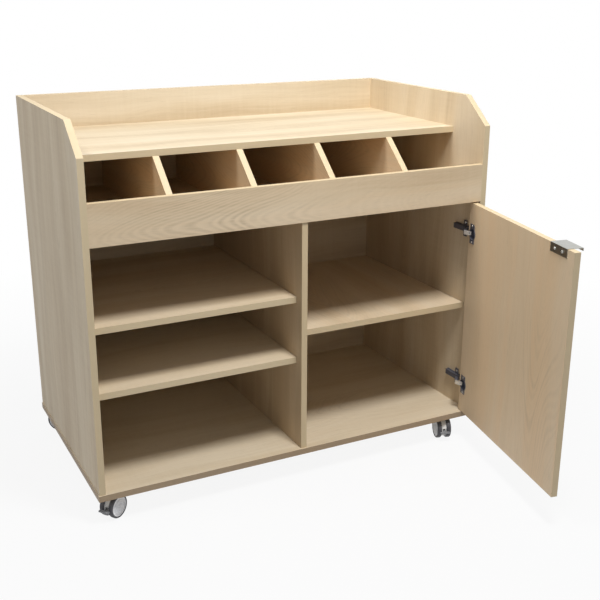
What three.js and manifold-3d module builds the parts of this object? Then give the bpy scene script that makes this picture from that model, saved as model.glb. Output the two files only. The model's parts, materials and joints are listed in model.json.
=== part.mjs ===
// Mobile waiter service station: a board cabinet with a gallery top, five cutlery bins,
// an open bay with two shelves, a bay with one shelf and a hinged door, and four castors.
// Millimetres, +X to the right, +Y to the back, +Z up, with the door shown open.

import * as THREE from 'three';
import { mergeVertices } from 'three/addons/utils/BufferGeometryUtils.js';
import Module from 'manifold-3d';

// Carcass
const BOARD = 16;
const CARCASS_WIDTH = 1100;
const CARCASS_DEPTH = 600;
const OVERALL_HEIGHT = 970;
const CASTOR_HEIGHT = 66;
const BASE_REVEAL = 2;
const CHAMFER_DEPTH = 90;
const CHAMFER_DROP = 72;
const GALLERY_HEIGHT = 90;
const WORKTOP_SETBACK = 141;
const BIN_MOUTH_HEIGHT = 83;
const FASCIA_HEIGHT = 100;
const BIN_COUNT = 5;
const BIN_SLOPE = THREE.MathUtils.degToRad(41);
const LEFT_BAY_WIDTH = 530;
const DIVIDER_SETBACK = 3;

// Shelves, given by the height of their top faces
const LEFT_UPPER_SHELF_HEIGHT = 497;
const LEFT_LOWER_SHELF_HEIGHT = 332;
const RIGHT_SHELF_HEIGHT = 396;
const LEFT_SHELF_SETBACK = 31;
const RIGHT_SHELF_SETBACK = 48;
const SHELF_END_GAP = 1;
const SUPPORT_INSET = 50;
const SUPPORT_TAB = { length: 13, width: 9, thickness: 6 };
const SUPPORT_PEG_RADIUS = 2.5;
const SUPPORT_PEG_LENGTH = 9;

// Door, its edge pull and its screws
const DOOR_SIDE_GAP = 2;
const DOOR_BOTTOM_GAP = 2;
const DOOR_TOP_GAP = 4;
const DOOR_OPENING = THREE.MathUtils.degToRad(79);
const PULL_WIDTH = 72;
const PULL_EDGE_DISTANCE = 28;
const PULL_LEG = 21;
const PULL_OVERHANG = 24;
const PULL_LIP = 6;
const PULL_SHEET = 1.2;
const PULL_SCREW_PITCH = 32;
const SCREW_HEAD_RADIUS = 3.8;
const SCREW_HEAD_HEIGHT = 1.8;
const SCREW_SHANK_RADIUS = 1.75;
const SCREW_LENGTH = 11;

// Concealed hinges; the pivot is the axis that the door turns about
const PIVOT_FROM_SIDE = 11;
const PIVOT_DEPTH = 5;
const HINGE_END_DISTANCE = 83;
const CUP_RADIUS = 17.2;
const CUP_DEPTH = 11.5;
const CUP_WALL = 1.2;
const CUP_EDGE_DISTANCE = 4;
const FLANGE_HEIGHT = 54;
const FLANGE_WIDTH = 24;
const PLATE_FRONT = 43;
const PLATE_LENGTH = 58;
const PLATE_HEIGHT = 18;
const PLATE_THICKNESS = 2;
const WING_CENTRE = 57;
const WING_WIDTH = 14;
const WING_HEIGHT = 46;
const ARM_HEIGHT = 14;
const ARM_DEPTH = 7;
const NOSE_HEIGHT = 6;
const NOSE_RADIUS = 3.5;
const NOSE_FROM_SIDE = 29;
const NOSE_BEHIND_DOOR = 5;
const LINK_LENGTH = 20;
const LINK_HALF_WIDTH = 2;
const LINK_CHEEK = 1.5;
const LINK_WEB_LENGTH = 15;
const LINK_PIN_RADIUS = 1.5;
const LINK_CLOSED_ANGLE = THREE.MathUtils.degToRad(-36.7);
const LINK_RATIO = -0.433;

// Castors
const CASTOR_INSET_LEFT = 60;
const CASTOR_INSET_RIGHT = 76;
const CASTOR_INSET_FRONT = 48;
const CASTOR_INSET_REAR = 34;
const CASTOR_TURNS = { front_left: 214, front_right: 252, rear_left: 140, rear_right: 120 };
const WHEEL_RADIUS = 30;
const WHEEL_WIDTH = 14;
const WHEEL_SHOULDER = 2;
const HUB_RADIUS = 25;
const HUB_RECESS = 0.8;
const HUB_CROWN = 1;
const TRAIL = 22;
const HOUSING_WIDTH = 13;
const HOUSING_RADIUS = 25;
const AXLE_RADIUS = 3;
const KINGPIN_RADIUS = 3;
const KINGPIN_LENGTH = 24;
const MOUNT_PLATE = 56;
const MOUNT_PLATE_THICKNESS = 2.5;
const MOUNT_PLATE_CORNER = 6;
const MOUNT_BOSS_RADIUS = 11;
const MOUNT_BOSS_HEIGHT = 3;
const PEDAL_ARM_WIDTH = 7;
const PEDAL_THICKNESS = 3.5;
const PEDAL_TAB_WIDTH = 27;
const PEDAL_TAB_LENGTH = 10;
const PEDAL_PIVOT_RADIUS = 18;
const PEDAL_PIVOT_DROP = 2;
const PEDAL_PIN_RADIUS = 1.5;
const PEDAL_SWING_ROOM = 5;

// Clearances
const FIT = 0.3;
const SIDE_PLAY = 0.5;
const ROUND_SIDES = 16;
const WHEEL_SIDES = 32;

// Derived levels and planes
const BASE_TOP = CASTOR_HEIGHT + BOARD;
const WORKTOP_HEIGHT = OVERALL_HEIGHT - GALLERY_HEIGHT;
const FASCIA_TOP = WORKTOP_HEIGHT - BIN_MOUTH_HEIGHT;
const FASCIA_BOTTOM = FASCIA_TOP - FASCIA_HEIGHT;
const WORKTOP_UNDERSIDE = WORKTOP_HEIGHT - BOARD;
const BIN_FLOOR_TOP = FASCIA_BOTTOM + BOARD;
const BACK_FACE = CARCASS_DEPTH - BOARD;
const SIDE_FACE = CARCASS_WIDTH / 2 - BOARD;
const DIVIDER_LEFT = -SIDE_FACE + LEFT_BAY_WIDTH;
const DIVIDER_RIGHT = DIVIDER_LEFT + BOARD;

const OAK = { color: 0xd6bb92, roughness: 0.55, metalness: 0 };
const OAK_BASE = { color: 0xa98a61, roughness: 0.6, metalness: 0 };
const NICKEL = { color: 0xa9a8a6, roughness: 0.3, metalness: 1 };
const SATIN_STEEL = { color: 0xb9b9b5, roughness: 0.35, metalness: 1 };
const ZINC = { color: 0xb4b6b8, roughness: 0.4, metalness: 1 };
const WHEEL_GREY = { color: 0x55565a, roughness: 0.5, metalness: 0 };
const HOUSING_GREY = { color: 0xd8d6d0, roughness: 0.45, metalness: 0 };
const PEDAL_GREY = { color: 0x8b8c8f, roughness: 0.5, metalness: 0 };

const wasm = await Module();
wasm.setup();

function toSolid(geometry) {
  const bare = geometry.clone();
  bare.deleteAttribute('normal');
  bare.deleteAttribute('uv');
  const merged = mergeVertices(bare, 1e-4);
  const index = merged.index.array;
  const triangles = [];
  for (let i = 0; i < index.length; i += 3) {
    const [a, b, c] = [index[i], index[i + 1], index[i + 2]];
    if (a !== b && b !== c && c !== a) triangles.push(a, b, c);
  }
  return new wasm.Manifold(new wasm.Mesh({
    numProp: 3,
    vertProperties: new Float32Array(merged.attributes.position.array),
    triVerts: new Uint32Array(triangles),
  }));
}

function toGeometry(solid) {
  const mesh = solid.getMesh();
  const geometry = new THREE.BufferGeometry();
  geometry.setAttribute('position', new THREE.BufferAttribute(new Float32Array(mesh.vertProperties), 3));
  geometry.setIndex(Array.from(mesh.triVerts));
  geometry.computeVertexNormals();
  return geometry;
}

// Joins the first list of geometries and cuts the second list from the result.
function shape(joined, cuts = []) {
  const whole = joined.map(toSolid).reduce((a, b) => a.add(b));
  return toGeometry(cuts.map(toSolid).reduce((a, b) => a.subtract(b), whole));
}

function piece(name, geometry, look) {
  const mesh = new THREE.Mesh(geometry, new THREE.MeshStandardMaterial(look));
  mesh.name = name;
  return mesh;
}

// A box between two limits on each axis.
function block([x0, x1], [y0, y1], [z0, z1]) {
  const box = new THREE.BoxGeometry(x1 - x0, y1 - y0, z1 - z0);
  return box.translate((x0 + x1) / 2, (y0 + y1) / 2, (z0 + z1) / 2);
}

// A round bar from `start` along the axis 'x', 'y' or 'z'.
function rod(radius, length, axis, start, sides = ROUND_SIDES) {
  const bar = new THREE.CylinderGeometry(radius, radius, length, sides);
  bar.translate(0, length / 2, 0);
  if (axis === 'x') bar.rotateZ(-Math.PI / 2);
  if (axis === 'z') bar.rotateX(Math.PI / 2);
  return bar.translate(...start);
}

// A flat outline in (x, y), extruded along +Z.
function flatSlab(outline, depth) {
  return new THREE.ExtrudeGeometry(outline, { depth, bevelEnabled: false, curveSegments: 4 });
}

// A flat outline in (y, z), extruded along +X from x0.
function profileAlongX(outline, x0, length) {
  const extruded = flatSlab(outline, length);
  const turn = new THREE.Matrix4().makeBasis(
    new THREE.Vector3(0, 1, 0),
    new THREE.Vector3(0, 0, 1),
    new THREE.Vector3(1, 0, 0),
  );
  return extruded.applyMatrix4(turn).translate(x0, 0, 0);
}

function polygon(points) {
  return new THREE.Shape(points.map(([a, b]) => new THREE.Vector2(a, b)));
}

// Blind peg holes in a board face, and the supports that stand in them.
// `side` is +1 where the support points to +X and -1 where it points to -X.
function pegHole({ face, side, y, z }) {
  const radius = SUPPORT_PEG_RADIUS + FIT;
  const length = SUPPORT_PEG_LENGTH + FIT;
  return rod(radius, length, 'x', [side > 0 ? face - length : face, y, z]);
}

function shelfSupport({ face, side, y, z }) {
  const reach = face + side * SUPPORT_TAB.length;
  const embedded = SUPPORT_TAB.length / 2;
  const pegStart = side > 0 ? face - SUPPORT_PEG_LENGTH : face - embedded;
  const peg = rod(SUPPORT_PEG_RADIUS, SUPPORT_PEG_LENGTH + embedded, 'x', [pegStart, y, z]);
  const tab = block(
    [Math.min(face, reach), Math.max(face, reach)],
    [y - SUPPORT_TAB.width / 2, y + SUPPORT_TAB.width / 2],
    [z - SUPPORT_TAB.thickness / 2, z + SUPPORT_TAB.thickness / 2],
  );
  return shape([peg, tab]);
}

const SHELVES = {
  left_upper_shelf: {
    bay: [-SIDE_FACE, DIVIDER_LEFT], top: LEFT_UPPER_SHELF_HEIGHT, setback: LEFT_SHELF_SETBACK,
  },
  left_lower_shelf: {
    bay: [-SIDE_FACE, DIVIDER_LEFT], top: LEFT_LOWER_SHELF_HEIGHT, setback: LEFT_SHELF_SETBACK,
  },
  right_shelf: {
    bay: [DIVIDER_RIGHT, SIDE_FACE], top: RIGHT_SHELF_HEIGHT, setback: RIGHT_SHELF_SETBACK,
  },
};

// The four supports of each shelf, named by the shelf and the corner.
const SUPPORTS = Object.entries(SHELVES).flatMap(([name, { bay, top, setback }]) => {
  const z = top - BOARD - SUPPORT_TAB.thickness / 2;
  const rows = { front: setback + SUPPORT_INSET, rear: BACK_FACE - SUPPORT_INSET };
  return Object.entries(rows).flatMap(([row, y]) => [
    { name: `${name}_support_${row}_left`, face: bay[0], side: 1, y, z },
    { name: `${name}_support_${row}_right`, face: bay[1], side: -1, y, z },
  ]);
});

function holesIn(face) {
  return SUPPORTS.filter((support) => support.face === face).map(pegHole);
}

function carcass() {
  const group = new THREE.Group();
  const inside = [-SIDE_FACE, SIDE_FACE];
  const sideOutline = polygon([
    [0, BASE_TOP],
    [CARCASS_DEPTH, BASE_TOP],
    [CARCASS_DEPTH, OVERALL_HEIGHT],
    [CHAMFER_DEPTH, OVERALL_HEIGHT],
    [0, OVERALL_HEIGHT - CHAMFER_DROP],
  ]);
  const leftSide = profileAlongX(sideOutline, -CARCASS_WIDTH / 2, BOARD);
  const rightSide = profileAlongX(sideOutline, SIDE_FACE, BOARD);
  const centre = block(
    [DIVIDER_LEFT, DIVIDER_RIGHT],
    [DIVIDER_SETBACK, BACK_FACE],
    [BASE_TOP, FASCIA_BOTTOM],
  );
  const halfBase = CARCASS_WIDTH / 2 + BASE_REVEAL;
  const base = block([-halfBase, halfBase], [-BASE_REVEAL, CARCASS_DEPTH], [CASTOR_HEIGHT, BASE_TOP]);

  group.add(
    piece('base_panel', base, OAK_BASE),
    piece('left_side_panel', shape([leftSide], holesIn(-SIDE_FACE)), OAK),
    piece('right_side_panel', shape([rightSide], holesIn(SIDE_FACE)), OAK),
    piece('back_panel', block(inside, [BACK_FACE, CARCASS_DEPTH], [BASE_TOP, OVERALL_HEIGHT]), OAK),
    piece('worktop', block(inside, [WORKTOP_SETBACK, BACK_FACE], [WORKTOP_UNDERSIDE, WORKTOP_HEIGHT]), OAK),
    piece('front_fascia', block(inside, [0, BOARD], [FASCIA_BOTTOM, FASCIA_TOP]), OAK),
    piece('bin_floor', block(inside, [BOARD, BACK_FACE], [FASCIA_BOTTOM, BIN_FLOOR_TOP]), OAK),
    piece('centre_divider', shape([centre], [...holesIn(DIVIDER_LEFT), ...holesIn(DIVIDER_RIGHT)]), OAK),
  );

  const binWidth = (2 * SIDE_FACE - (BIN_COUNT - 1) * BOARD) / BIN_COUNT;
  const slopeDrop = (WORKTOP_SETBACK - BOARD) * Math.tan(BIN_SLOPE);
  const binOutline = polygon([
    [BOARD, BIN_FLOOR_TOP],
    [BACK_FACE, BIN_FLOOR_TOP],
    [BACK_FACE, WORKTOP_UNDERSIDE],
    [WORKTOP_SETBACK, WORKTOP_UNDERSIDE],
    [BOARD, WORKTOP_UNDERSIDE - slopeDrop],
  ]);
  for (let i = 1; i < BIN_COUNT; i += 1) {
    const divider = piece(`bin_divider_${i}`, profileAlongX(binOutline, 0, BOARD), OAK);
    divider.position.x = -SIDE_FACE + i * binWidth + (i - 1) * BOARD;
    group.add(divider);
  }

  for (const [name, { bay, top, setback }] of Object.entries(SHELVES)) {
    group.add(piece(name, block(
      [bay[0] + SHELF_END_GAP, bay[1] - SHELF_END_GAP],
      [setback, BACK_FACE - SHELF_END_GAP],
      [top - BOARD, top],
    ), OAK));
  }
  for (const support of SUPPORTS) group.add(piece(support.name, shelfSupport(support), NICKEL));
  return group;
}

// The door group has the pivot axis as its origin. In it the closed door lies along -X,
// with its outer face towards -Y.
const DOOR_HINGE_EDGE = PIVOT_FROM_SIDE - DOOR_SIDE_GAP;
const DOOR_FREE_EDGE = DOOR_HINGE_EDGE - (SIDE_FACE - DIVIDER_RIGHT - 2 * DOOR_SIDE_GAP);
const DOOR_OUTER_FACE = -PIVOT_DEPTH;
const DOOR_INNER_FACE = BOARD - PIVOT_DEPTH;
const DOOR_BOTTOM = BASE_TOP + DOOR_BOTTOM_GAP;
const DOOR_TOP = FASCIA_BOTTOM - DOOR_TOP_GAP;
const HINGE_HEIGHTS = { top: DOOR_TOP - HINGE_END_DISTANCE, bottom: DOOR_BOTTOM + HINGE_END_DISTANCE };
const CUP_CENTRE = DOOR_HINGE_EDGE - CUP_EDGE_DISTANCE - CUP_RADIUS - FIT;
const PULL_RIGHT = DOOR_FREE_EDGE + PULL_EDGE_DISTANCE + PULL_WIDTH;
const PULL_SCREWS = [-1, 1].map((end) => ({
  x: PULL_RIGHT - PULL_WIDTH / 2 + end * PULL_SCREW_PITCH / 2,
  z: DOOR_TOP - PULL_LEG / 2,
}));

function doorPanel() {
  const boreFloor = DOOR_INNER_FACE - CUP_DEPTH - FIT;
  const cupBores = Object.values(HINGE_HEIGHTS).map((z) =>
    rod(CUP_RADIUS + FIT, CUP_DEPTH + 2 * FIT, 'y', [CUP_CENTRE, boreFloor, z], WHEEL_SIDES));
  const screwBores = PULL_SCREWS.map(({ x, z }) =>
    rod(SCREW_SHANK_RADIUS + FIT, SCREW_LENGTH, 'y', [x, DOOR_INNER_FACE - SCREW_LENGTH + FIT, z]));
  const slab = block(
    [DOOR_FREE_EDGE, DOOR_HINGE_EDGE],
    [DOOR_OUTER_FACE, DOOR_INNER_FACE],
    [DOOR_BOTTOM, DOOR_TOP],
  );
  return shape([slab], [...cupBores, ...screwBores]);
}

// One bent sheet: a leg on the door's inner face, a top over the door's edge and a turned-down lip.
function edgePull() {
  const inner = DOOR_INNER_FACE + FIT;
  const top = DOOR_TOP + FIT;
  const front = DOOR_OUTER_FACE - PULL_OVERHANG;
  const outline = new THREE.Shape();
  outline.moveTo(inner, DOOR_TOP - PULL_LEG);
  outline.lineTo(inner + PULL_SHEET, DOOR_TOP - PULL_LEG);
  outline.lineTo(inner + PULL_SHEET, top);
  outline.absarc(inner, top, PULL_SHEET, 0, Math.PI / 2, false);
  outline.lineTo(front + PULL_SHEET, top + PULL_SHEET);
  outline.absarc(front + PULL_SHEET, top, PULL_SHEET, Math.PI / 2, Math.PI, false);
  outline.lineTo(front, DOOR_TOP - PULL_LIP);
  outline.lineTo(front + PULL_SHEET, DOOR_TOP - PULL_LIP);
  outline.lineTo(front + PULL_SHEET, top);
  outline.lineTo(inner, top);
  const sheet = profileAlongX(outline, PULL_RIGHT - PULL_WIDTH, PULL_WIDTH);
  const holes = PULL_SCREWS.map(({ x, z }) =>
    rod(SCREW_SHANK_RADIUS + FIT, 2 * PULL_SHEET + FIT, 'y', [x, DOOR_INNER_FACE, z]));
  return shape([sheet], holes);
}

// A pan-head screw with its shank towards -Y and its head seated at the origin.
function panScrew() {
  return new THREE.LatheGeometry([
    new THREE.Vector2(0, -SCREW_LENGTH),
    new THREE.Vector2(SCREW_SHANK_RADIUS, -SCREW_LENGTH + SCREW_SHANK_RADIUS),
    new THREE.Vector2(SCREW_SHANK_RADIUS, 0),
    new THREE.Vector2(SCREW_HEAD_RADIUS, 0),
    new THREE.Vector2(SCREW_HEAD_RADIUS, SCREW_HEAD_HEIGHT / 2),
    new THREE.Vector2(SCREW_HEAD_RADIUS * 0.7, SCREW_HEAD_HEIGHT),
    new THREE.Vector2(0, SCREW_HEAD_HEIGHT),
  ], ROUND_SIDES);
}

// The cup stands in its bore in the door, with a flange on the door's inner face.
function hingeCup() {
  const flangeSeat = DOOR_INNER_FACE + FIT;
  const cavity = CUP_RADIUS - CUP_WALL;
  const floor = DOOR_INNER_FACE - CUP_DEPTH;
  const shell = rod(CUP_RADIUS, CUP_DEPTH + FIT + CUP_WALL, 'y', [CUP_CENTRE, floor, 0], WHEEL_SIDES);
  const flange = block(
    [CUP_CENTRE - FLANGE_WIDTH / 2, CUP_CENTRE + FLANGE_WIDTH / 2],
    [flangeSeat, flangeSeat + CUP_WALL],
    [-FLANGE_HEIGHT / 2, FLANGE_HEIGHT / 2],
  );
  const hollow = rod(cavity, CUP_DEPTH + 2 * CUP_WALL, 'y', [CUP_CENTRE, floor + CUP_WALL, 0], WHEEL_SIDES);
  return shape([shell, flange], [hollow]);
}

// The arm is fixed to the side panel by its mounting plate and reaches round to a narrow nose.
// Its origin is the pivot axis at the hinge's height.
const NOSE = new THREE.Vector2(PIVOT_FROM_SIDE - NOSE_FROM_SIDE, BOARD + NOSE_BEHIND_DOOR - PIVOT_DEPTH);

function hingeArm() {
  const depth = (y) => y - PIVOT_DEPTH;
  const plateFace = PIVOT_FROM_SIDE - PLATE_THICKNESS;
  const plateBack = depth(PLATE_FRONT + PLATE_LENGTH);
  const plate = block([plateFace, PIVOT_FROM_SIDE], [depth(PLATE_FRONT), plateBack],
    [-PLATE_HEIGHT / 2, PLATE_HEIGHT / 2]);
  const wing = block([plateFace, PIVOT_FROM_SIDE],
    [depth(WING_CENTRE - WING_WIDTH / 2), depth(WING_CENTRE + WING_WIDTH / 2)],
    [-WING_HEIGHT / 2, WING_HEIGHT / 2]);
  const channel = block([plateFace - ARM_DEPTH, plateFace], [depth(PLATE_FRONT), plateBack],
    [-ARM_HEIGHT / 2, ARM_HEIGHT / 2]);
  const root = new THREE.Vector2(plateFace - ARM_DEPTH / 2, depth(PLATE_FRONT + ARM_DEPTH));
  const reach = root.clone().sub(NOSE);
  const crank = block([0, reach.length()], [-NOSE_RADIUS, NOSE_RADIUS], [-NOSE_HEIGHT / 2, NOSE_HEIGHT / 2]);
  crank.rotateZ(reach.angle()).translate(NOSE.x, NOSE.y, 0);
  const nose = rod(NOSE_RADIUS, NOSE_HEIGHT, 'z', [NOSE.x, NOSE.y, -NOSE_HEIGHT / 2]);
  const pinBore = rod(LINK_PIN_RADIUS + FIT, ARM_HEIGHT, 'z', [NOSE.x, NOSE.y, -ARM_HEIGHT / 2]);
  return shape([plate, wing, channel, crank, nose], [pinBore]);
}

// The link is a bent channel that straddles the arm's nose on its own pin and points along +X to the cup.
function hingeLink() {
  const inside = NOSE_HEIGHT / 2 + FIT;
  const outside = inside + LINK_CHEEK;
  const webInside = -NOSE_RADIUS - FIT;
  const webOutside = webInside - LINK_CHEEK;
  const cheeks = [-outside, inside].flatMap((z) => [
    block([0, LINK_LENGTH], [-LINK_HALF_WIDTH, LINK_HALF_WIDTH], [z, z + LINK_CHEEK]),
    block([0, LINK_WEB_LENGTH], [webOutside, 0], [z, z + LINK_CHEEK]),
    rod(NOSE_RADIUS, LINK_CHEEK, 'z', [0, 0, z]),
  ]);
  const web = block([0, LINK_WEB_LENGTH], [webOutside, webInside], [-outside, outside]);
  const tipStart = LINK_LENGTH - 2 * LINK_HALF_WIDTH;
  const tip = block([tipStart, LINK_LENGTH], [-LINK_HALF_WIDTH, LINK_HALF_WIDTH], [-outside, outside]);
  const pin = rod(LINK_PIN_RADIUS, 2 * outside, 'z', [0, 0, -outside]);
  return shape([...cheeks, web, tip, pin]);
}

function doorAndHinges() {
  const group = new THREE.Group();
  group.position.set(SIDE_FACE - PIVOT_FROM_SIDE, PIVOT_DEPTH, 0);

  const door = new THREE.Group();
  door.rotation.z = DOOR_OPENING;
  door.add(piece('door_panel', doorPanel(), OAK), piece('edge_pull', edgePull(), SATIN_STEEL));
  PULL_SCREWS.forEach(({ x, z }, i) => {
    const screw = piece(`edge_pull_screw_${i + 1}`, panScrew(), NICKEL);
    screw.position.set(x, DOOR_INNER_FACE + PULL_SHEET + 2 * FIT, z);
    door.add(screw);
  });

  for (const [level, z] of Object.entries(HINGE_HEIGHTS)) {
    const arm = piece(`${level}_hinge_arm`, hingeArm(), NICKEL);
    arm.position.z = z;
    const link = piece(`${level}_hinge_link`, hingeLink(), NICKEL);
    link.position.set(NOSE.x, NOSE.y, z);
    link.rotation.z = LINK_CLOSED_ANGLE + LINK_RATIO * DOOR_OPENING;
    const cup = piece(`${level}_hinge_cup`, hingeCup(), NICKEL);
    cup.position.z = z;
    door.add(cup);
    group.add(arm, link);
  }
  group.add(door);
  return group;
}

// Castors, each in a frame with its kingpin on the Z axis, the floor at z = 0,
// the wheels trailing towards +X and the axle along Y.
const HOUSING_TOP = CASTOR_HEIGHT - MOUNT_PLATE_THICKNESS - MOUNT_BOSS_HEIGHT - FIT;
const WHEEL_INNER_FACE = HOUSING_WIDTH / 2 + SIDE_PLAY;
const AXLE_HALF_LENGTH = WHEEL_INNER_FACE + WHEEL_WIDTH - 2 * WHEEL_SHOULDER;
const PEDAL_PIVOT = new THREE.Vector2(TRAIL + PEDAL_PIVOT_RADIUS, WHEEL_RADIUS - PEDAL_PIVOT_DROP);

function mountPlate() {
  const half = MOUNT_PLATE / 2;
  const straight = half - MOUNT_PLATE_CORNER;
  const outline = new THREE.Shape();
  [[1, 1], [-1, 1], [-1, -1], [1, -1]].forEach(([sx, sy], quarter) => {
    const from = quarter * Math.PI / 2;
    outline.absarc(sx * straight, sy * straight, MOUNT_PLATE_CORNER, from, from + Math.PI / 2, false);
  });
  const plate = flatSlab(outline, MOUNT_PLATE_THICKNESS);
  const plateBottom = CASTOR_HEIGHT - MOUNT_PLATE_THICKNESS;
  plate.translate(0, 0, plateBottom);
  const boss = rod(MOUNT_BOSS_RADIUS, MOUNT_BOSS_HEIGHT + FIT, 'z', [0, 0, plateBottom - MOUNT_BOSS_HEIGHT]);
  const kingpin = rod(KINGPIN_RADIUS, KINGPIN_LENGTH, 'z', [0, 0, plateBottom - KINGPIN_LENGTH]);
  return shape([plate, boss, kingpin]);
}

function housing(braked) {
  const half = HOUSING_WIDTH / 2;
  const disc = rod(HOUSING_RADIUS, HOUSING_WIDTH, 'y', [TRAIL, -half, WHEEL_RADIUS], WHEEL_SIDES);
  const stem = block([-half, half], [-half, half], [WHEEL_RADIUS, HOUSING_TOP]);
  const bridge = block([0, TRAIL], [-half, half], [WHEEL_RADIUS, WHEEL_RADIUS + HOUSING_RADIUS]);
  const pinDepth = KINGPIN_LENGTH + FIT;
  const pinFloor = CASTOR_HEIGHT - MOUNT_PLATE_THICKNESS - pinDepth;
  const pinBore = rod(KINGPIN_RADIUS + FIT, pinDepth, 'z', [0, 0, pinFloor]);
  const axleBore = rod(AXLE_RADIUS + FIT, 2 * HOUSING_WIDTH, 'y', [TRAIL, -HOUSING_WIDTH, WHEEL_RADIUS]);
  const cuts = [pinBore, axleBore];
  if (braked) {
    const slot = PEDAL_ARM_WIDTH / 2 + FIT;
    const { x, y: z } = PEDAL_PIVOT;
    const room = PEDAL_THICKNESS / 2 + PEDAL_SWING_ROOM;
    cuts.push(
      block([x - room, TRAIL + WHEEL_RADIUS], [-slot, slot], [z - room, z + room]),
      rod(PEDAL_PIN_RADIUS + FIT, 2 * HOUSING_WIDTH, 'y', [x, -HOUSING_WIDTH, z]),
    );
  }
  return shape([disc, stem, bridge], cuts);
}

// A wheel turned about Y with its inner face at y = 0 and a crowned hub disc outside.
function wheel() {
  const bore = AXLE_RADIUS + FIT;
  const boreDepth = AXLE_HALF_LENGTH - WHEEL_INNER_FACE + FIT;
  const rim = WHEEL_WIDTH - HUB_CROWN;
  return new THREE.LatheGeometry([
    new THREE.Vector2(0, boreDepth),
    new THREE.Vector2(bore, boreDepth),
    new THREE.Vector2(bore, 0),
    new THREE.Vector2(WHEEL_RADIUS - WHEEL_SHOULDER, 0),
    new THREE.Vector2(WHEEL_RADIUS, WHEEL_SHOULDER),
    new THREE.Vector2(WHEEL_RADIUS, rim - WHEEL_SHOULDER),
    new THREE.Vector2(WHEEL_RADIUS - WHEEL_SHOULDER, rim),
    new THREE.Vector2(HUB_RADIUS + HUB_RECESS, rim),
    new THREE.Vector2(HUB_RADIUS, rim - HUB_RECESS),
    new THREE.Vector2(HUB_RADIUS / 2, WHEEL_WIDTH - HUB_CROWN / 2),
    new THREE.Vector2(0, WHEEL_WIDTH),
  ], WHEEL_SIDES);
}

// The pedal's origin is its pin. Its arm lies in the housing's slot and its tab stands clear of the wheels.
function brakePedal() {
  const halfThick = PEDAL_THICKNESS / 2;
  const tabStart = WHEEL_RADIUS - PEDAL_PIVOT_RADIUS + SIDE_PLAY;
  const halfArm = PEDAL_ARM_WIDTH / 2;
  const arm = block([0, tabStart + SIDE_PLAY], [-halfArm, halfArm], [-halfThick, halfThick]);
  const knuckle = rod(PEDAL_THICKNESS, PEDAL_ARM_WIDTH, 'y', [0, -halfArm, 0]);
  const tab = block([tabStart, tabStart + PEDAL_TAB_LENGTH], [-PEDAL_TAB_WIDTH / 2, PEDAL_TAB_WIDTH / 2],
    [-halfThick, halfThick]);
  const pinHalf = HOUSING_WIDTH / 2 - FIT;
  const pin = rod(PEDAL_PIN_RADIUS, 2 * pinHalf, 'y', [0, -pinHalf, 0]);
  return shape([arm, knuckle, tab, pin]);
}

function castor(corner, x, y) {
  const group = new THREE.Group();
  group.position.set(x, y, 0);
  group.add(piece(`${corner}_castor_plate`, mountPlate(), ZINC));

  const swivel = new THREE.Group();
  swivel.rotation.z = THREE.MathUtils.degToRad(CASTOR_TURNS[corner]);
  const braked = corner.startsWith('front');
  swivel.add(
    piece(`${corner}_castor_housing`, housing(braked), HOUSING_GREY),
    piece(`${corner}_castor_axle`,
      rod(AXLE_RADIUS, 2 * AXLE_HALF_LENGTH, 'y', [TRAIL, -AXLE_HALF_LENGTH, WHEEL_RADIUS]), ZINC),
  );
  for (const [side, direction] of [['left', 1], ['right', -1]]) {
    const turning = piece(`${corner}_castor_wheel_${side}`, wheel(), WHEEL_GREY);
    turning.position.set(TRAIL, direction * WHEEL_INNER_FACE, WHEEL_RADIUS);
    if (direction < 0) turning.rotation.z = Math.PI;
    swivel.add(turning);
  }
  if (braked) {
    const pedal = piece(`${corner}_brake_pedal`, brakePedal(), PEDAL_GREY);
    pedal.position.set(PEDAL_PIVOT.x, 0, PEDAL_PIVOT.y);
    swivel.add(pedal);
  }
  group.add(swivel);
  return group;
}

const model = new THREE.Group();
model.add(carcass(), doorAndHinges());
const castorLeft = CASTOR_INSET_LEFT - CARCASS_WIDTH / 2;
const castorRight = CARCASS_WIDTH / 2 - CASTOR_INSET_RIGHT;
const castorRear = CARCASS_DEPTH - CASTOR_INSET_REAR;
model.add(
  castor('front_left', castorLeft, CASTOR_INSET_FRONT),
  castor('front_right', castorRight, CASTOR_INSET_FRONT),
  castor('rear_left', castorLeft, castorRear),
  castor('rear_right', castorRight, castorRear),
);

// The origin is the bottom centre of the box round the whole object as it stands here.
const station = new THREE.Group();
station.add(model);
const bounds = new THREE.Box3().setFromObject(station, true);
const middle = bounds.getCenter(new THREE.Vector3());
model.position.set(-middle.x, -middle.y, -bounds.min.z);

export default station;
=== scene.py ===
"""Looks of the mobile waiter service station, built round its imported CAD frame."""

import fnmatch
import json
import math

import bmesh
import bpy
from mathutils import Matrix, Vector


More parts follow.
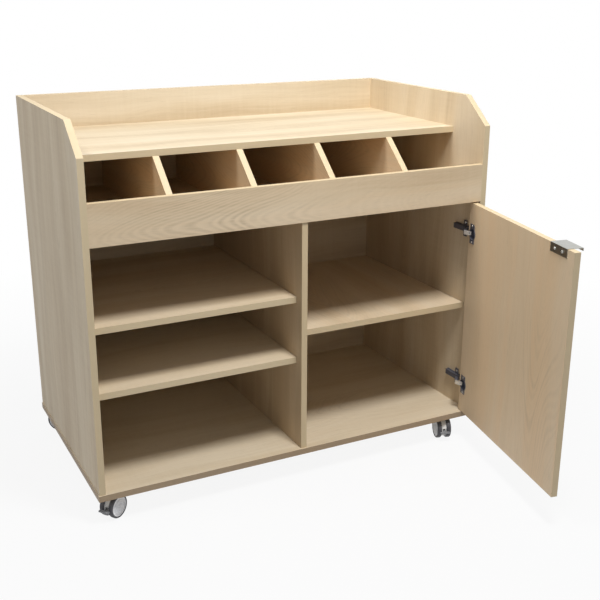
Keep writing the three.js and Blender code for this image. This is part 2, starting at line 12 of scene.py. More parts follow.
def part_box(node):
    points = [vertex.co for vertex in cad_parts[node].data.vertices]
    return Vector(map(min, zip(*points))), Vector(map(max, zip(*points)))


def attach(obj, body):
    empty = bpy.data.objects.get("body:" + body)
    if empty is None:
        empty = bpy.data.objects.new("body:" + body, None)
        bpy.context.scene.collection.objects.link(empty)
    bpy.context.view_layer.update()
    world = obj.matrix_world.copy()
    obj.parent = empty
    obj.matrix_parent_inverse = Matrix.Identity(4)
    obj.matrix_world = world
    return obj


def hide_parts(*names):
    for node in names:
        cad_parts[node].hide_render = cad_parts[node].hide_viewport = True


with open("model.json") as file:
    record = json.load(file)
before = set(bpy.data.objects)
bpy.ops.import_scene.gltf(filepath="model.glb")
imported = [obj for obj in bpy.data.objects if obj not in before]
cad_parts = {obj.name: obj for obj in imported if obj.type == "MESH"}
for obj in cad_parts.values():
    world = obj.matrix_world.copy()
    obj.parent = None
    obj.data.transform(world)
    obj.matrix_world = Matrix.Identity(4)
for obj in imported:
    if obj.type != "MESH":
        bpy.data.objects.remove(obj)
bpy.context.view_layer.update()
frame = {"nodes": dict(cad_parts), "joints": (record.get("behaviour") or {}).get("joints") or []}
nodes = frame["nodes"]
joints = {joint["name"]: joint for joint in frame["joints"]}

MM = 0.001
WHITE = (1, 1, 1, 1)
AXES = {"x": (1, 0, 0), "y": (0, 1, 0), "z": (0, 0, 1)}
CORNERS = ("front_left", "front_right", "rear_left", "rear_right")

# The door in the frame: how far it is open, a point on its axis, and the way its inner face looks
DOOR_OPENING = math.radians(-joints["door_hinge"]["range_deg"][0])
DOOR_PIVOT = Vector(joints["door_hinge"]["pos_m"])
DOOR_INWARD = Matrix.Rotation(DOOR_OPENING, 3, "Z") @ Vector((0, 1, 0))


def srgb(r, g, b):
    """An 8-bit display colour as linear RGBA."""
    def linear(c):
        c /= 255
        return c / 12.92 if c <= 0.04045 else ((c + 0.055) / 1.055) ** 2.4
    return (linear(r), linear(g), linear(b), 1.0)


def placed(name, data):
    """A new object in the scene for a mesh, a lamp or the camera."""
    obj = bpy.data.objects.new(name, data)
    bpy.context.scene.collection.objects.link(obj)
    return obj


class Tree:
    """Short calls for building the node tree of a material or the world."""

    def __init__(self, owner):
        owner.use_nodes = True
        self.owner = owner
        self.nodes = owner.node_tree.nodes
        self.links = owner.node_tree.links

    def put(self, socket, value):
        if isinstance(value, bpy.types.NodeSocket):
            self.links.new(value, socket)
        else:
            socket.default_value = value

    def node(self, kind, inputs=None, **settings):
        made = self.nodes.new(kind)
        for key, value in settings.items():
            setattr(made, key, value)
        for key, value in (inputs or {}).items():
            self.put(made.inputs[key], value)
        return made

    def coordinate(self, kind):
        return self.node("ShaderNodeTexCoord").outputs[kind]

    def combine(self, x=0.0, y=0.0, z=0.0):
        return self.node("ShaderNodeCombineXYZ", {"X": x, "Y": y, "Z": z}).outputs[0]

    def turned(self, vector, angle):
        """A vector turned about Z."""
        made = self.node("ShaderNodeMapping", {"Vector": vector, "Rotation": (0, 0, angle)})
        return made.outputs["Vector"]

    def math(self, operation, a, b=0.0, c=0.0):
        made = self.node("ShaderNodeMath", {0: a, 1: b, 2: c}, operation=operation)
        return made.outputs[0]

    def vector(self, operation, a, b=(0, 0, 0)):
        made = self.node("ShaderNodeVectorMath", {0: a, 1: b}, operation=operation)
        return made.outputs["Value" if operation in ("DOT_PRODUCT", "LENGTH") else "Vector"]

    def noise(self, vector, scale, detail=3.0, roughness=0.5):
        """Noise whose scale is one frequency, or one for each axis."""
        if isinstance(scale, tuple):
            vector = self.vector("MULTIPLY", vector, scale)
            scale = 1.0
        made = self.node("ShaderNodeTexNoise", {
            "Vector": vector, "Scale": scale, "Detail": detail, "Roughness": roughness})
        return made.outputs["Fac"]

    def ramp(self, factor, stops):
        made = self.node("ShaderNodeValToRGB", {"Fac": factor})
        elements = made.color_ramp.elements
        while len(elements) < len(stops):
            elements.new(0.5)
        for element, (place, colour) in zip(elements, stops):
            element.position = place
            element.color = colour
        return made.outputs["Color"]

    def spread(self, value, low, high, to_low=0.0, to_high=1.0):
        made = self.node("ShaderNodeMapRange", {
            "Value": value, "From Min": low, "From Max": high,
            "To Min": to_low, "To Max": to_high})
        return made.outputs["Result"]

    def mix(self, factor, a, b, blend="MIX", kind="RGBA"):
        inputs = {"Factor": factor, "A": a, "B": b}
        made = self.node("ShaderNodeMix", inputs, data_type=kind, blend_type=blend)
        return made.outputs["Result"]

    def seen_directly(self):
        """A factor that is 1 for rays that show the surroundings: camera, glossy and transmission."""
        path = self.node("ShaderNodeLightPath").outputs
        shown = self.math("MAXIMUM", path["Is Camera Ray"], path["Is Glossy Ray"])
        return self.math("MAXIMUM", shown, path["Is Transmission Ray"])


class Surface(Tree):
    """A new material and its shader."""

    def __init__(self, name, colour):
        super().__init__(bpy.data.materials.new(name))
        self.owner.diffuse_color = colour
        self.shader = self.nodes["Principled BSDF"]

    def set(self, name, value):
        self.put(self.shader.inputs[name], value)

    def bump(self, height, strength, distance):
        made = self.node("ShaderNodeBump", {
            "Height": height, "Strength": strength, "Distance": distance})
        self.set("Normal", made.outputs["Normal"])


# Oak melamine: its colours
OAK_DARK = srgb(184, 163, 132)
OAK_MID = srgb(205, 188, 159)
OAK_LIGHT = srgb(218, 204, 179)
OAK_ROSY = srgb(223, 193, 155)
OAK_SAWN = srgb(158, 138, 110)
OAK_PORE = srgb(140, 117, 88)
OAK_EDGE = srgb(208, 189, 152)
# The base panel's edge banding: darker as a board of its own and, in part, painted shade.
BASE_EDGE_AND_SHADE = srgb(138, 111, 80)

# Noise frequencies per metre: along the grain, across it and through the board
WANDER_SCALE = (1.6, 5.0, 5.0)
BAND_SCALE = (1.2, 13.0, 13.0)
HUE_SCALE = (0.5, 22.0, 22.0)
STREAK_SCALE = (4.5, 130.0, 130.0)
PORE_SCALE = (26.0, 820.0, 820.0)
SAW_MARK_SCALE = (110.0, 7.0, 7.0)
WARP_SCALE = (2.5, 7.0, 7.0)
DASH_SCALE = (20.0, 260.0, 260.0)
YEAR_SCALE = 75.0

# How far the grain lines wander, where faces count as ends and edges, and how seeds move the pattern
GRAIN_WANDER = 20 * MM
END_FACING = 0.6
EDGE_FACING = 0.5
SEED_STEP = (3.7, 1.9, 0.61)

# Cathedral figure: the growth rings' sizes, and how it fades along and across the grain
HEART_DEPTH = 14 * MM
RING_TAPER = -0.30
RING_SPACING = 9 * MM
RING_WARP = 25 * MM
RING_MIDDLE = 0.35
RING_FADE = (0.10, 0.42)
YEAR_FADE = (0.38, 0.62)
DASH_FADE = (0.52, 0.78)
DASH_SHARE = 0.6
SAWN_DASHES = 0.30
FIGURE_REACH = (0.08, 0.30)
FIGURE_WIDTH = (0.05, 0.13)
FAINTEST = 0.15

# Stretches of a noise's values: nearly all of it, the tones and hues of bands, and the few dark pores
NOISE_RANGE = (0.3, 0.7)
TONE_RANGE = (0.32, 0.68)
HUE_RANGE = (0.40, 0.62)
FLECK_RANGE = (0.60, 0.74)

# Shares in a board's colour: of each pattern in its tone, the least rosy tone, pores and edge banding
BAND_SHARE = 0.70
STREAK_SHARE = 0.20
SAW_MARK_SHARE = 0.10
LEAST_ROSY = 0.65
PORE_SHARE = 0.25
TRIM_SHARE = 0.75
TRIM_STREAKS = 0.35
PLAIN_TRIM = 0.55

# Surface of the boards: roughness from the low streaks to the high ones, and the pores' depth
OAK_ROUGHNESS = (0.62, 0.46)
PORE_RELIEF = -0.7


class Grain:
    """A board's sockets: its places along and across the grain, and the patterns that follow it."""

    def __init__(self, t, grain, thickness, seed, turn):
        place = t.coordinate("Object")
        normal = t.coordinate("Normal")
        if turn:
            place = t.turned(place, -turn)
            normal = t.turned(normal, -turn)
        across = next(axis for axis in AXES if axis not in (grain, thickness))
        split = t.node("ShaderNodeSeparateXYZ", {"Vector": place}).outputs
        self.along, self.across, through = (split[axis.upper()] for axis in (grain, across, thickness))
        end_on = t.math("ABSOLUTE", t.vector("DOT_PRODUCT", normal, AXES[grain]))
        face_on = t.math("ABSOLUTE", t.vector("DOT_PRODUCT", normal, AXES[thickness]))
        self.on_edge = t.math("LESS_THAN", face_on, EDGE_FACING)

        lengthwise = t.combine(self.along, self.across, through)
        crosswise = t.combine(self.across, self.along, through)
        fibre = t.mix(t.math("GREATER_THAN", end_on, END_FACING), lengthwise, crosswise, kind="VECTOR")
        self.fibre = t.vector("ADD", fibre, tuple(seed * step for step in SEED_STEP))
        wander = t.noise(self.fibre, WANDER_SCALE, detail=2.0)
        shift = t.combine(y=t.spread(wander, *NOISE_RANGE, -GRAIN_WANDER, GRAIN_WANDER))
        self.flowing = t.vector("ADD", self.fibre, shift)
        self.bands = t.noise(self.flowing, BAND_SCALE)
        self.hue = t.noise(self.flowing, HUE_SCALE, detail=2.0)
        self.streaks = t.noise(self.flowing, STREAK_SCALE, detail=4.0, roughness=0.6)
        self.saw_marks = t.noise(self.fibre, SAW_MARK_SCALE, roughness=0.65)
        pores = t.noise(self.flowing, PORE_SCALE, detail=2.0, roughness=0.6)
        self.flecks = t.spread(pores, *FLECK_RANGE)


def cathedral(t, board, seed, heart):
    """The strength of the arched growth rings round `heart`, a place along and across the grain."""
    from_crown = t.math("SUBTRACT", board.along, heart[0])
    off_heart = t.math("SUBTRACT", board.across, heart[1])
    warp = t.noise(board.fibre, WARP_SCALE, detail=1.0, roughness=0.4)
    radius = t.math("SQRT", t.math("MULTIPLY_ADD", off_heart, off_heart, HEART_DEPTH ** 2))
    growth = t.math("MULTIPLY_ADD", from_crown, RING_TAPER, radius)
    growth = t.math("ADD", growth, t.spread(warp, *NOISE_RANGE, -RING_WARP, RING_WARP))

    phase = t.math("FRACT", t.math("DIVIDE", growth, RING_SPACING))
    off_ring = t.math("ABSOLUTE", t.math("SUBTRACT", phase, RING_MIDDLE))
    rings = t.spread(off_ring, *RING_FADE, to_low=1.0, to_high=0.0)
    years = t.noise(t.combine(growth, seed), YEAR_SCALE, detail=1.0)
    rings = t.math("MULTIPLY", rings, t.spread(years, *YEAR_FADE, to_low=FAINTEST))
    dashes = t.noise(board.flowing, DASH_SCALE, roughness=0.6)
    dashes = t.spread(t.math("MULTIPLY_ADD", board.saw_marks, SAWN_DASHES, dashes), *DASH_FADE)

    near_crown = t.spread(t.math("ABSOLUTE", from_crown), *FIGURE_REACH, to_low=1.0, to_high=FAINTEST)
    near_heart = t.spread(t.math("ABSOLUTE", off_heart), *FIGURE_WIDTH, to_low=1.0, to_high=FAINTEST)
    rings = t.math("MULTIPLY", t.math("MULTIPLY", near_crown, near_heart), rings)
    return t.math("MULTIPLY", t.math("MULTIPLY_ADD", dashes, DASH_SHARE, 1 - DASH_SHARE), rings)


def oak_face(t, board, figure, rosy, painted_lightness):
    """The colour of a board's face: bands and streaks, a paleness that is painted light and shade, a rosy
    share, the figure and open pores.
    """
    tone = t.math("MULTIPLY", board.bands, BAND_SHARE)
    tone = t.math("MULTIPLY_ADD", board.streaks, STREAK_SHARE, tone)
    tone = t.math("MULTIPLY_ADD", board.saw_marks, SAW_MARK_SHARE, tone)
    # Painted light and shade: the board's paleness lifts or lowers its whole tone.
    tone = t.math("ADD", t.spread(tone, *TONE_RANGE), painted_lightness)
    face = t.ramp(tone, ((0.0, OAK_DARK), (0.5, OAK_MID), (1.0, OAK_LIGHT)))
    face = t.mix(t.spread(board.hue, *HUE_RANGE, LEAST_ROSY * rosy, rosy), face, OAK_ROSY)
    face = t.mix(figure, face, OAK_SAWN)
    return t.mix(t.math("MULTIPLY", board.flecks, PORE_SHARE), face, OAK_PORE)


def oak_trim(t, board, edge):
    """The colour of the plainer banding on a board's edges."""
    streaks = t.spread(board.streaks, 0.25, 0.75, to_high=TRIM_STREAKS)
    return t.mix(PLAIN_TRIM, t.mix(streaks, edge, OAK_DARK, "MULTIPLY"), edge)


def oak(name, grain, thickness, seed, figured, rosy, painted_lightness, heart, turn=0.0, edge=OAK_EDGE):
    """Light oak melamine: `grain` and `thickness` name the board's axes, `turn` its angle about Z.

    `figured`, `rosy` and the last tone value set the figure's strength, the rosy share and a paleness that
    is painted light and shade: paler shelves and base for light, a darker centre divider for shade.
    """
    t = Surface(name, OAK_MID)
    board = Grain(t, grain, thickness, seed, turn)
    figure = t.math("MULTIPLY", cathedral(t, board, seed, heart), figured)
    face = oak_face(t, board, figure, rosy, painted_lightness)
    trim = oak_trim(t, board, edge)
    t.set("Base Color", t.mix(t.math("MULTIPLY", board.on_edge, TRIM_SHARE), face, trim))
    t.set("Roughness", t.spread(board.streaks, 0.2, 0.8, *OAK_ROUGHNESS))
    t.set("Specular IOR Level", 0.5)
    relief = t.math("MULTIPLY_ADD", board.flecks, PORE_RELIEF, board.streaks)
    t.bump(relief, strength=0.18, distance=0.25 * MM)
    return t.owner


# Metal and plastic: frequencies per metre, and how much darker a smudge is
DRAWING_MARKS = 1400
SMUDGES = 70.0
SCUFFS = 60.0
SMUDGE_SHADE = 0.86


def metal(name, colour, roughness, brushed=(1.0, 1.0, 1.0), strength=0.12, metallic=1.0):
    """Plated or satin metal with fine drawing marks and soft smudges."""
    t = Surface(name, colour)
    place = t.coordinate("Object")
    marks = t.noise(place, tuple(DRAWING_MARKS * share for share in brushed), roughness=0.6)
    smudge = t.noise(place, SMUDGES, roughness=0.55)
    darker = tuple(SMUDGE_SHADE * channel for channel in colour[:3]) + (1.0,)
    t.set("Base Color", t.mix(t.spread(smudge, 0.3, 0.75), colour, darker))
    t.set("Metallic", metallic)
    t.set("Roughness", t.spread(marks, 0.25, 0.75, roughness - 0.06, roughness + 0.10))
    t.bump(marks, strength, distance=0.03 * MM)
    return t.owner


def plastic(name, colour, darker, roughness, grit=900.0):
    """Moulded plastic with a fine spark-eroded skin and slight scuffs."""
    t = Surface(name, colour)
    place = t.coordinate("Object")
    skin = t.noise(place, grit, detail=2.0, roughness=0.6)
    cloud = t.noise(place, SCUFFS, roughness=0.6)
    t.set("Base Color", t.mix(t.spread(cloud, 0.35, 0.7), colour, darker))
    t.set("Roughness", t.spread(cloud, *NOISE_RANGE, roughness - 0.05, roughness + 0.10))
    t.bump(skin, strength=0.10, distance=0.05 * MM)
    return t.owner


SHARP_ANGLE = math.radians(40)


def dress(name, material, radius, segments=2):
    """Gives a CAD node its material, and rounds its sharp edges with a modifier."""
    obj = nodes[name]
    obj.data.materials.clear()
    obj.data.materials.append(material)
    bevel = obj.modifiers.new("edge_radius", "BEVEL")
    bevel.width = radius
    bevel.segments = segments
    bevel.limit_method = "ANGLE"
    bevel.angle_limit = SHARP_ANGLE
    bevel.harden_normals = True


# Boards: axes of grain and thickness, figure's strength, rosy share, paleness, heart as shares of the face
# The paleness column is painted light and shade: paler shelves and base for light, a darker centre divider
# for shade.
BOARDS = {
    "base_panel": ("x", "z", 0.25, 0.1, 0.40, (0.6, 0.3)),
    "left_side_panel": ("z", "x", 0.30, 0.1, -0.05, (0.5, 0.4)),
    "right_side_panel": ("z", "x", 0.25, 0.2, 0.10, (0.4, 0.6)),
    "back_panel": ("x", "y", 0.12, 0.1, 0.0, (0.7, 0.2)),
    "worktop": ("x", "z", 0.20, 0.0, 0.0, (0.6, 0.4)),
    "front_fascia": ("x", "y", 0.60, 0.5, 0.0, (0.27, 0.25)),
    "bin_floor": ("x", "z", 0.25, 0.6, 0.0, (0.4, 0.5)),
    "bin_divider_1": ("y", "x", 0.25, 0.9, 0.20, (0.4, 0.6)),
    "bin_divider_2": ("y", "x", 0.25, 0.9, 0.20, (0.7, 0.4)),
    "bin_divider_3": ("y", "x", 0.25, 0.9, 0.20, (0.3, 0.5)),
    "bin_divider_4": ("y", "x", 0.25, 0.9, 0.20, (0.6, 0.7)),
    "centre_divider": ("z", "x", 0.25, 0.3, -0.50, (0.5, 0.5)),
    "left_upper_shelf": ("x", "z", 0.25, 0.3, 0.25, (0.6, 0.4)),
    "left_lower_shelf": ("x", "z", 0.25, 0.2, 0.45, (0.3, 0.6)),
    "right_shelf": ("y", "z", 0.25, 0.4, 0.30, (0.4, 0.3)),
    "door_panel": ("z", "y", 0.28, 0.8, 0.35, (0.3, 0.22)),
}
BOARD_EDGE_RADIUS = 0.7 * MM


def heart_of(name, grain, thickness, shares, turn):
    """The place on a board, along and across its grain, at these shares of its length and width."""
    across = next(axis for axis in AXES if axis not in (grain, thickness))
    unturn = Matrix.Rotation(-turn, 3, "Z")
    points = [unturn @ vertex.co for vertex in nodes[name].data.vertices]
    place = []
    for axis, share in zip((grain, across), shares):
        values = [point.dot(Vector(AXES[axis])) for point in points]
        place.append(min(values) + share * (max(values) - min(values)))
    return place


for seed, (name, row) in enumerate(BOARDS.items(), 1):
    grain, thickness, figured, rosy, painted_lightness, shares = row
    turn = DOOR_OPENING if name == "door_panel" else 0.0
    # The base panel's edge takes the darker banding, which is partly painted shade.
    edge = BASE_EDGE_AND_SHADE if name == "base_panel" else OAK_EDGE
    heart = heart_of(name, grain, thickness, shares, turn)
    material = oak(f"oak_{name}", grain, thickness, seed, figured, rosy, painted_lightness, heart, turn, edge)
    dress(name, material, BOARD_EDGE_RADIUS)

NICKEL = metal("nickel_plate", srgb(112, 114, 126), 0.30, metallic=0.45)
# Painted highlight: the hinge links share the arms' plating but are pale, for the overhead light their
# tops catch.
PAINTED_HIGHLIGHT_NICKEL = metal("link_nickel", srgb(226, 223, 218), 0.36, metallic=0.7)
SATIN = metal("satin_steel", srgb(186, 186, 180), 0.32, (0.15, 1.0, 1.0), 0.2)
ZINC = metal("zinc_plate", srgb(178, 180, 182), 0.38)
SCREW = metal("screw_plate", srgb(205, 204, 200), 0.22)
HOUSING = plastic("castor_housing_plastic", srgb(244, 242, 237), srgb(232, 229, 223), 0.42)
TREAD = plastic("castor_tread", srgb(78, 77, 80), srgb(62, 61, 65), 0.55, 500.0)
HUB = plastic("castor_hub", srgb(240, 240, 242), srgb(226, 227, 230), 0.30)
PEDAL = plastic("brake_pedal_plastic", srgb(140, 141, 144), srgb(122, 123, 126), 0.45)

# Fittings: the nodes' names, material, edge radius and bevel segments
FITTINGS = (
    ("*_support_*", NICKEL, 0.25 * MM, 2),
    ("*_hinge_arm", NICKEL, 0.25 * MM, 2),
    ("*_hinge_cup", NICKEL, 0.25 * MM, 2),
    # The hinge links take the pale nickel, a painted highlight.
    ("*_hinge_link", PAINTED_HIGHLIGHT_NICKEL, 0.25 * MM, 2),
    ("edge_pull", SATIN, 0.25 * MM, 2),
    ("*_castor_plate", ZINC, 0.3 * MM, 2),
    ("*_castor_axle", ZINC, 0.3 * MM, 2),
    ("*_castor_housing", HOUSING, 0.9 * MM, 3),
    ("*_brake_pedal", PEDAL, 0.8 * MM, 3),
)
for pattern, material, radius, segments in FITTINGS:
    for name in fnmatch.filter(nodes, pattern):
        dress(name, material, radius, segments)


def arc(centre, radii, start, end, steps=6):
    """Points on a quarter or other stretch of an ellipse, its angles in degrees."""
    angles = [math.radians(start + (end - start) * i / steps) for i in range(steps + 1)]
    return [(round(centre[0] + radii[0] * math.cos(a), 9), round(centre[1] + radii[1] * math.sin(a), 9))
            for a in angles]


def lathe(name, profile, materials, sides):
    """A mesh turned about its local Y axis. `profile` rows are (radius, y, material index)."""
    mesh = bpy.data.meshes.new(name)
    bm = bmesh.new()
    rings = []
    for radius, height, _ in profile:
        if radius == 0:
            rings.append([bm.verts.new((0, height, 0))])
            continue
        angles = (2 * math.pi * i / sides for i in range(sides))
        rings.append([bm.verts.new((radius * math.cos(a), height, radius * math.sin(a))) for a in angles])
    for lower, upper, row in zip(rings, rings[1:], profile):
        for i in range(sides):
            j = (i + 1) % sides
            corners = [lower[i % len(lower)], upper[i % len(upper)]]
            corners += [upper[j % len(upper)], lower[j % len(lower)]]
            face = bm.faces.new(list(dict.fromkeys(corners)))
            face.material_index = row[2]
            face.smooth = True
    bmesh.ops.recalc_face_normals(bm, faces=bm.faces)
    bm.to_mesh(mesh)
    bm.free()
    for material in materials:
        mesh.materials.append(material)
    return placed(name, mesh)


# Castor wheels, from the blind bore over the tread to the hub disc
WHEEL_SIDES = 56
WHEEL_RADIUS = 30 * MM
TREAD_WIDTH = 13 * MM
TREAD_ROUNDING = 3.2 * MM
RIM_BEVEL = 1.2 * MM
BORE_RADIUS = 3.3 * MM
BORE_DEPTH = 10.3 * MM
HUB_RADIUS = 25 * MM
HUB_RIM = 12.2 * MM
HUB_CROWN = 1.8 * MM
HUB_GROOVES = (20.3 * MM, 8.4 * MM)
GROOVE_WIDTH = 1.4 * MM
GROOVE_BEVEL = 0.4 * MM
GROOVE_DEPTH = 0.3 * MM
INNER_POINT_SHARE = 0.6


def crown(radius):
    """A point on the hub disc's domed face."""
    return radius, HUB_RIM + HUB_CROWN * (1 - (radius / HUB_RADIUS) ** 2)


def hub_disc():
    """The hub disc's outline from its rim to its middle, with its ring grooves."""
    disc = [crown(HUB_RADIUS)]
    for groove in HUB_GROOVES:
        outer, inner = groove + GROOVE_WIDTH / 2, groove - GROOVE_WIDTH / 2
        bottom = crown(groove)[1] - GROOVE_DEPTH
        disc += [crown(outer), (outer - GROOVE_BEVEL, bottom)]
        disc += [(inner + GROOVE_BEVEL, bottom), crown(inner)]
        disc.append(crown(INNER_POINT_SHARE * inner))
    disc.append(crown(0))
    return disc


def wheel_profile():
    """A twin-castor wheel from its blind bore, over the tread, to the crowned and ringed hub disc."""
    tread, hub = 0, 1
    shoulder = WHEEL_RADIUS - TREAD_ROUNDING
    rounding = (TREAD_ROUNDING, TREAD_ROUNDING)
    bore = [(0, BORE_DEPTH), (BORE_RADIUS, BORE_DEPTH), (BORE_RADIUS, 0)]
    rubber = arc((shoulder, TREAD_ROUNDING), rounding, -90, 0)
    rubber += arc((shoulder, TREAD_WIDTH - TREAD_ROUNDING), rounding, 0, 90)
    rubber.append((HUB_RADIUS + RIM_BEVEL, TREAD_WIDTH))
    stretches = ((bore, hub), (rubber, tread), (hub_disc(), hub))
    return [(radius, y, index) for points, index in stretches for radius, y in points]


def wheel(corner, side):
    """Replaces one CAD wheel with a rounder one that has a tread and a hub disc."""
    node = f"{corner}_castor_wheel_{side}"
    roll = joints[f"{corner}_wheel_{side}_roll"]
    axle = Vector(roll["axis"])
    outward = axle if side == "left" else -axle
    centre = Vector(roll["pos_m"])
    to_world = nodes[node].matrix_world
    inner = min((to_world @ vertex.co - centre).dot(outward) for vertex in nodes[node].data.vertices)
    inner_face = centre + outward * inner
    up = Vector((0, 0, 1))
    turn = Matrix((outward.cross(up), outward, up)).transposed().to_4x4()
    obj = lathe(f"{node}_turned", wheel_profile(), [TREAD, HUB], WHEEL_SIDES)
    obj.matrix_world = Matrix.Translation(inner_face) @ turn
    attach(obj, f"{corner}_wheel_{side}")
    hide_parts(node)


for corner in CORNERS:
    for side in ("left", "right"):
        wheel(corner, side)

# Screws: heads as (radius, height), the neck below them, and the recess's bars as shares of the radius
SCREW_SIDES = 24
PULL_HEAD = (3.8 * MM, 1.8 * MM)
WING_HEAD = (3.4 * MM, 1.6 * MM)
FLANGE_HEAD = (3.2 * MM, 1.5 * MM)
CASTOR_HEAD = (3.6 * MM, 1.6 * MM)
SCREW_NECK = 0.6 * MM
NECK_SHARE = 0.9
RECESS_LENGTH = 1.1
RECESS_WIDTH = 0.3

# Where the screws sit: on the pull, the hinges' wings and flanges, and the castors' plates
PULL_SCREW_LENGTH = 12.8 * MM
WING_SETBACK = 57 * MM
WING_THICKNESS = 2 * MM
WING_SCREW_REACH = 16 * MM
DOOR_FACE_FROM_PIVOT = 11 * MM
FLANGE_FACE_HEIGHT = 1.5 * MM
FLANGE_SCREW_REACH = 22.5 * MM
CASTOR_PLATE_THICKNESS = 2.5 * MM
CASTOR_SCREW_REACH = 21 * MM


def screw_profile(radius, height):
    """A dome head on a short neck that is sunk in its seat."""
    neck = [(0, -SCREW_NECK), (NECK_SHARE * radius, -SCREW_NECK)]
    return [(r, y, 0) for r, y in neck + arc((0, 0), (radius, height), 0, 90)]


def recess_cutter(name, radius, height):
    """Two crossed bars that reach halfway down a screw's head."""
    cross = bmesh.new()
    long, short = radius * RECESS_LENGTH, radius * RECESS_WIDTH
    for length, width in ((long, short), (short, long)):
        bar = Matrix.Diagonal((length, height, width, 1))
        bmesh.ops.create_cube(cross, size=1.0, matrix=Matrix.Translation((0, height, 0)) @ bar)
    mesh = bpy.data.meshes.new(name)
    cross.to_mesh(mesh)
    cross.free()
    return placed(name, mesh)


def cut_away(obj, cutter):
    """Cuts one object's shape out of another's mesh and removes the cutter."""
    cut = obj.modifiers.new("recess", "BOOLEAN")
    cut.object = cutter
    cut.solver = "EXACT"
    cut.use_self = True
    bpy.context.view_layer.update()
    evaluated = obj.evaluated_get(bpy.context.evaluated_depsgraph_get())
    cut_mesh = bpy.data.meshes.new_from_object(evaluated)
    obj.modifiers.clear()
    obj.data = cut_mesh
    bpy.data.objects.remove(cutter)


def screw(name, place, outward, body, head_size):
    """A small dome-headed screw with a cross recess, its head's underside at `place`."""
    head = lathe(name, screw_profile(*head_size), [SCREW], SCREW_SIDES)
    cut_away(head, recess_cutter(f"{name}_recess", *head_size))
    turn = Vector(outward).normalized().to_track_quat("Y", "Z").to_matrix().to_4x4()
    head.matrix_world = Matrix.Translation(Vector(place)) @ turn
    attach(head, body)
    return head


def pull_screw(index):
    """One screw of the edge pull, in place of the plain CAD head."""
    node = f"edge_pull_screw_{index}"
    low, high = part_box(node)
    head_height = PULL_HEAD[1]
    seat = (low + high) / 2 + DOOR_INWARD * (PULL_SCREW_LENGTH / 2 - head_height)
    head = screw(f"{node}_head", seat, DOOR_INWARD, "door", PULL_HEAD)
    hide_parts(node)


def hinge_screws(level):
    """The screws of one hinge's plate, on the side panel, and of its cup's flange, on the door."""
    arm_low, arm_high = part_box(f"{level}_hinge_arm")
    cup_low, cup_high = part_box(f"{level}_hinge_cup")
    middle = (arm_low.z + arm_high.z) / 2
    wing_face = arm_high.x - WING_THICKNESS
    wing_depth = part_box("right_side_panel")[0].y + WING_SETBACK
    for end, suffix in ((-1, "lower"), (1, "upper")):
        place = Vector((wing_face, wing_depth, middle + end * WING_SCREW_REACH))
        screw(f"{level}_hinge_plate_screw_{suffix}", place, (-1, 0, 0), "carcass", WING_HEAD)
        seat = (cup_low + cup_high) / 2
        seat.z = middle + end * FLANGE_SCREW_REACH
        reach = (seat - DOOR_PIVOT).dot(DOOR_INWARD)
        seat += DOOR_INWARD * (DOOR_FACE_FROM_PIVOT + FLANGE_FACE_HEIGHT - reach)
        screw(f"{level}_hinge_cup_screw_{suffix}", seat, DOOR_INWARD, "door", FLANGE_HEAD)


def castor_screws(corner):
    """The four screws under one castor's plate."""
    low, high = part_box(f"{corner}_castor_plate")
    centre = (low + high) / 2
    under = high.z - CASTOR_PLATE_THICKNESS
    for across, side in ((-1, "l"), (1, "r")):
        for along, end in ((-1, "f"), (1, "b")):
            x = centre.x + across * CASTOR_SCREW_REACH
            y = centre.y + along * CASTOR_SCREW_REACH
            name = f"{corner}_plate_screw_{side}{end}"
            screw(name, Vector((x, y, under)), (0, 0, -1), "carcass", CASTOR_HEAD)


for index in (1, 2):
    pull_screw(index)
for level in ("top", "bottom"):
    hinge_screws(level)
for corner in CORNERS:
    castor_screws(corner)

# Camera, placed from the cabinet's lower front left corner
SENSOR_WIDTH = 36.0
LENS = 57.07
LENS_SHIFT = (0.0077, -0.0139)
CAMERA_FROM_CORNER = Vector((-0.49584, -2.00935, 1.19794))
CAMERA_RIGHT = Vector((0.89172, -0.45258, 0.00254))
CAMERA_UP = Vector((0.13921, 0.27961, 0.94997))
CAMERA_BACK = Vector((-0.43065, -0.84675, 0.31233))


def photo_camera():
    """The camera at the photograph's viewing angle."""
    data = bpy.data.cameras.new("camera")
    data.sensor_width = SENSOR_WIDTH
    data.lens = LENS
    data.shift_x, data.shift_y = LENS_SHIFT
    panel_low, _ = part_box("left_side_panel")
    base_low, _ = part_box("base_panel")
    corner = Vector((panel_low.x, panel_low.y, base_low.z))
    turn = Matrix((CAMERA_RIGHT, CAMERA_UP, CAMERA_BACK)).transposed().to_4x4()
    camera = placed("camera", data)
    camera.matrix_world = Matrix.Translation(corner + CAMERA_FROM_CORNER) @ turn
    return camera


bpy.context.scene.camera = photo_camera()

# Floor and world: white where they are seen, and plain studio light on the object
FLOOR_HALF = 9.0
FLOOR_GREY = (0.60, 0.60, 0.60, 1)
FLOOR_ROUGHNESS = 0.9
FLOOR_GLOW = 0.90
FLOOR_FADE = (0.9, 2.2)
WORLD_LEVEL = 0.24
WORLD_COLOUR = (0.94, 1.00, 1.10, 1)


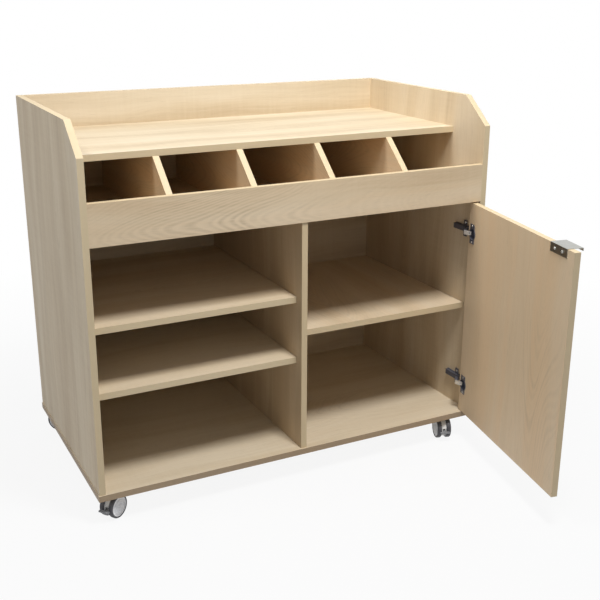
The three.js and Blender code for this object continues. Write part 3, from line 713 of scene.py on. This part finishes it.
def floor_paper():
    """Grey paper that takes shadows, and glows white to the camera and in reflections."""
    t = Surface("floor_paper", FLOOR_GREY)
    t.set("Base Color", FLOOR_GREY)
    t.set("Roughness", FLOOR_ROUGHNESS)
    glow = t.node("ShaderNodeEmission", {"Color": WHITE, "Strength": 1.0})
    distance = t.vector("LENGTH", t.coordinate("Object"))
    fade = t.spread(distance, *FLOOR_FADE, FLOOR_GLOW, 1.0)
    share = t.math("MULTIPLY", t.seen_directly(), fade)
    blend = t.node("ShaderNodeMixShader", {0: share, 1: t.shader.outputs[0], 2: glow.outputs[0]})
    t.put(t.nodes["Material Output"].inputs["Surface"], blend.outputs[0])
    return t.owner


def studio_floor():
    """A large flat floor round the object."""
    mesh = bpy.data.meshes.new("floor")
    corners = [(-FLOOR_HALF, -FLOOR_HALF, 0), (FLOOR_HALF, -FLOOR_HALF, 0),
               (FLOOR_HALF, FLOOR_HALF, 0), (-FLOOR_HALF, FLOOR_HALF, 0)]
    mesh.from_pydata(corners, [], [(0, 1, 2, 3)])
    mesh.materials.append(floor_paper())
    placed("floor", mesh)


def studio_world():
    """A white surround that lights the object only softly."""
    t = Tree(bpy.data.worlds.new("studio"))
    background = t.nodes["Background"]
    shown = t.seen_directly()
    t.put(background.inputs["Strength"], t.spread(shown, 0.0, 1.0, WORLD_LEVEL, 1.0))
    t.put(background.inputs["Color"], t.mix(shown, WORLD_COLOUR, WHITE))
    return t.owner


studio_floor()
bpy.context.scene.world = studio_world()

# Lamps
NEUTRAL = (1.0, 1.0, 1.0)
WARM = (1.0, 0.98, 0.95)


def area_light(name, place, target, size, power, colour, spread=180):
    """A rectangular lamp that looks from one place to another, its spread in degrees."""
    data = bpy.data.lights.new(name, "AREA")
    data.shape = "RECTANGLE"
    data.size, data.size_y = size
    data.energy = power
    data.color = colour
    data.spread = math.radians(spread)
    lamp = placed(name, data)
    lamp.location = place
    lamp.rotation_mode = "QUATERNION"
    lamp.rotation_quaternion = (Vector(target) - Vector(place)).to_track_quat("-Z", "Y")


area_light("key", (0.10, -0.92, 2.7), (0.0, 0.10, 0.60), (0.45, 0.60), 55, NEUTRAL)
area_light("overhead", (-0.55, 0.10, 2.6), (0.0, 0.20, 0.80), (0.9, 0.6), 3, WARM)
area_light("left", (-1.90, 0.15, 3.0), (0.2, 0.15, 0.60), (0.7, 0.5), 23, WARM)
area_light("gallery", (-0.42, 0.15, 2.2), (0.54, 0.24, 0.95), (0.35, 0.30), 0.55, WARM, 50)
area_light("behind", (1.50, 2.40, 0.85), (0.2, 0.2, 0.5), (1.2, 0.8), 22, NEUTRAL)

bpy.context.scene.view_settings.view_transform = "Standard"
